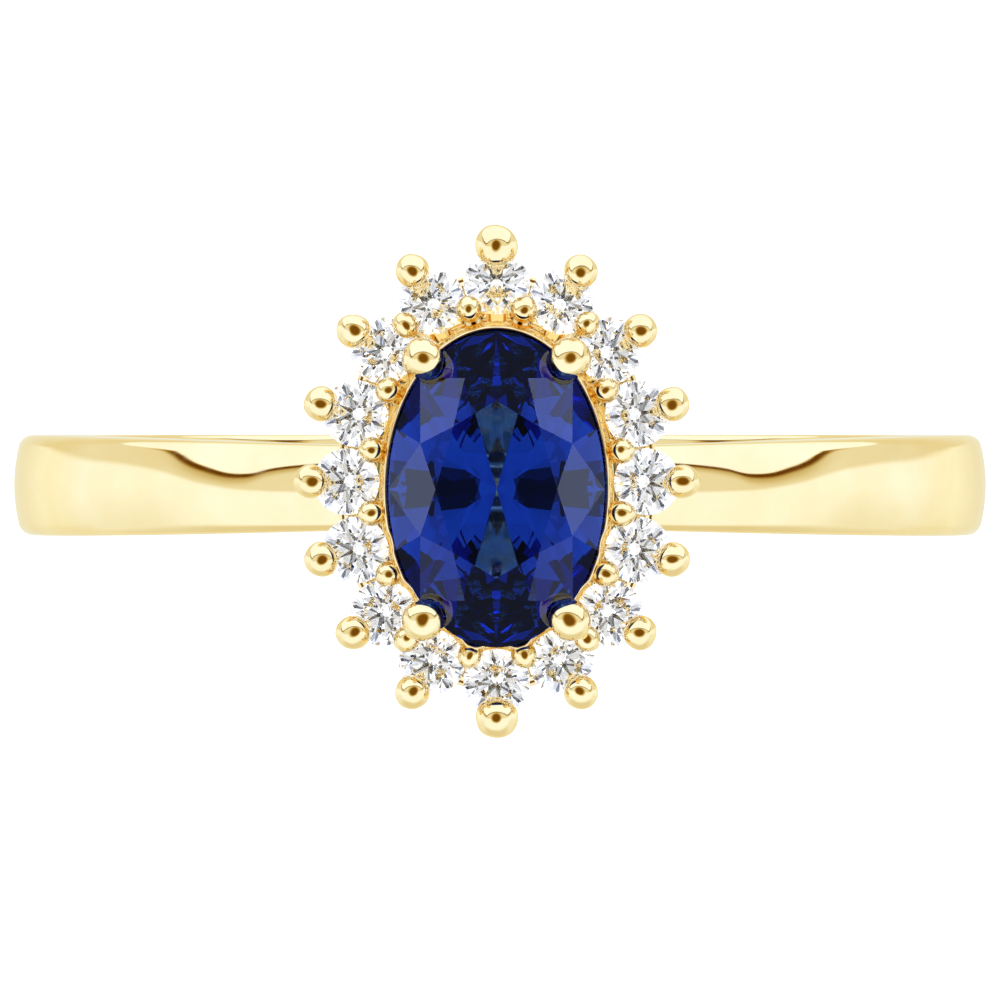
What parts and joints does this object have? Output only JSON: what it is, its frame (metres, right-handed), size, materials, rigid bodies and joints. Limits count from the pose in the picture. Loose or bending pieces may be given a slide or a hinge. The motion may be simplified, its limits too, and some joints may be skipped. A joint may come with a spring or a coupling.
{
  "type": "engagement ring",
  "caption": "Finger ring with a plain band and a raised oval cluster head: a claw-set oval centre stone in a halo of small round stones.",
  "frame": {"origin": "middle of the finger hole", "axes": "+Z from the finger hole up through the head, +Y along the finger, +X across the finger"},
  "size_m": [0.0202, 0.0098, 0.0233],
  "materials": {
    "yellow_gold": "polished",
    "blue_sapphire": "polished facets",
    "white_diamond": "polished facets"
  },
  "bodies": {
    "root": {"shank": "yellow_gold", "base_rail": "yellow_gold", "halo_rail": "yellow_gold", "centre_collet": "yellow_gold", "cross_bars": "yellow_gold", "centre_claw_1": "yellow_gold", "centre_claw_2": "yellow_gold", "centre_claw_3": "yellow_gold", "centre_claw_4": "yellow_gold", "outer_claw_01": "yellow_gold", "outer_claw_02": "yellow_gold", "outer_claw_03": "yellow_gold", "outer_claw_04": "yellow_gold", "outer_claw_05": "yellow_gold", "outer_claw_06": "yellow_gold", "outer_claw_07": "yellow_gold", "outer_claw_08": "yellow_gold", "outer_claw_09": "yellow_gold", "outer_claw_10": "yellow_gold", "outer_claw_11": "yellow_gold", "outer_claw_12": "yellow_gold", "outer_claw_13": "yellow_gold", "outer_claw_14": "yellow_gold", "outer_claw_15": "yellow_gold", "outer_claw_16": "yellow_gold", "shared_claw_01": "yellow_gold", "shared_claw_02": "yellow_gold", "shared_claw_03": "yellow_gold", "shared_claw_04": "yellow_gold", "shared_claw_05": "yellow_gold", "shared_claw_06": "yellow_gold", "shared_claw_07": "yellow_gold", "shared_claw_08": "yellow_gold", "shared_claw_09": "yellow_gold", "shared_claw_10": "yellow_gold", "shared_claw_11": "yellow_gold", "shared_claw_12": "yellow_gold", "shared_claw_13": "yellow_gold", "shared_claw_14": "yellow_gold", "shared_claw_15": "yellow_gold", "shared_claw_16": "yellow_gold", "sapphire": "blue_sapphire", "diamond_01": "white_diamond", "diamond_02": "white_diamond", "diamond_03": "white_diamond", "diamond_04": "white_diamond", "diamond_05": "white_diamond", "diamond_06": "white_diamond", "diamond_07": "white_diamond", "diamond_08": "white_diamond", "diamond_09": "white_diamond", "diamond_10": "white_diamond", "diamond_11": "white_diamond", "diamond_12": "white_diamond", "diamond_13": "white_diamond", "diamond_14": "white_diamond", "diamond_15": "white_diamond", "diamond_16": "white_diamond"}
  },
  "joints": []
}
